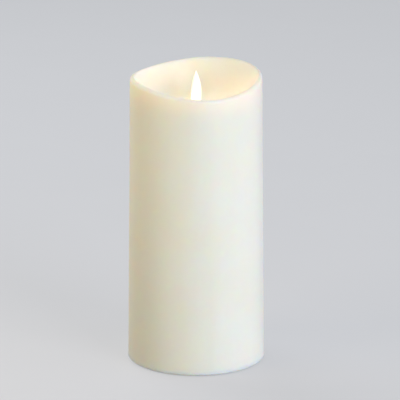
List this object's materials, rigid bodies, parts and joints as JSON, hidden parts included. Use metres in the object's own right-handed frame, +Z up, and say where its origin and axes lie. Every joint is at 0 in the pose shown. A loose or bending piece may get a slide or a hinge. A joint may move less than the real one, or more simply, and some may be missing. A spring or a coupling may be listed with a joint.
{
  "type": "flameless led candle",
  "caption": "Hollow ivory wax pillar with a wavy rim and a bowl, in which a lit flame-shaped blade sways; battery bay, door and slide switch underneath.",
  "frame": {"origin": "centre of the base, on the surface that the four foot pads stand on", "axes": "+Z up along the pillar, -Y towards the front (the low side of the rim), +X to the right seen from the front"},
  "size_m": [0.1048, 0.1048, 0.2253],
  "materials": {
    "wax": "satin",
    "flame_plastic": "satin",
    "ivory_plastic": "satin",
    "base_plastic": "satin",
    "case_plastic": "satin",
    "tower_plastic": "matte",
    "black_plastic": "satin",
    "foot_rubber": "matte",
    "zinc_steel": "satin",
    "nickel": "satin",
    "magnet_nickel": "polished",
    "contact_brass": "satin",
    "cell_jacket": "satin",
    "board_laminate": "satin",
    "copper_winding": "gloss",
    "capacitor_sleeve": "gloss",
    "led_epoxy": "gloss",
    "lead_red": "satin",
    "lead_black": "satin",
    "lead_white": "satin",
    "lead_yellow": "satin"
  },
  "bodies": {
    "candle": {"wax_shell": "wax", "mounting_ring": "base_plastic", "base_plate": "base_plastic", "foot_pads": "foot_rubber", "base_screws": "zinc_steel", "battery_case": "case_plastic", "case_screws": "zinc_steel", "battery_cell_left": "cell_jacket", "battery_cell_right": "cell_jacket", "positive_contact": "nickel", "negative_contact": "nickel", "hinge_pin": "zinc_steel", "switch_body": "nickel", "switch_terminals": "contact_brass", "switch_board": "board_laminate", "switch_screws": "zinc_steel", "core_front_shell": "tower_plastic", "core_rear_shell": "tower_plastic", "core_screws": "zinc_steel", "shell_screws": "zinc_steel", "nozzle_collar": "ivory_plastic", "suspension_wire": "zinc_steel", "coil_bobbin": "black_plastic", "drive_coil": "copper_winding", "control_board": "board_laminate", "controller_chip": "black_plastic", "oscillator_crystal": "nickel", "board_resistors": "black_plastic", "board_capacitor": "capacitor_sleeve", "led_emitter": "led_epoxy", "led_pins": "zinc_steel", "led_holder": "case_plastic", "battery_lead_positive": "lead_red", "battery_lead_negative": "lead_black", "switch_leads": "lead_white", "led_leads": "lead_yellow", "coil_leads": "copper_winding"},
    "flame": {"flame_blade": "flame_plastic", "flame_magnet": "magnet_nickel"},
    "door": {"battery_door": "base_plastic", "bridge_contact": "nickel", "bridge_spring": "nickel"},
    "knob": {"switch_knob": "black_plastic"}
  },
  "joints": [
    {"name": "flame_swing", "type": "hinge", "parent": "candle", "child": "flame", "pos_m": [0, 0, 0.168], "axis": [0, 1, 0], "range_deg": [-10, 10]},
    {"name": "door_hinge", "type": "hinge", "parent": "candle", "child": "door", "pos_m": [0, -0.0175, 0.0033], "axis": [-1, 0, 0], "range_deg": [0, 105]},
    {"name": "switch_slide", "type": "slide", "parent": "candle", "child": "knob", "axis": [1, 0, 0], "range_m": [0, 0.004]}
  ]
}
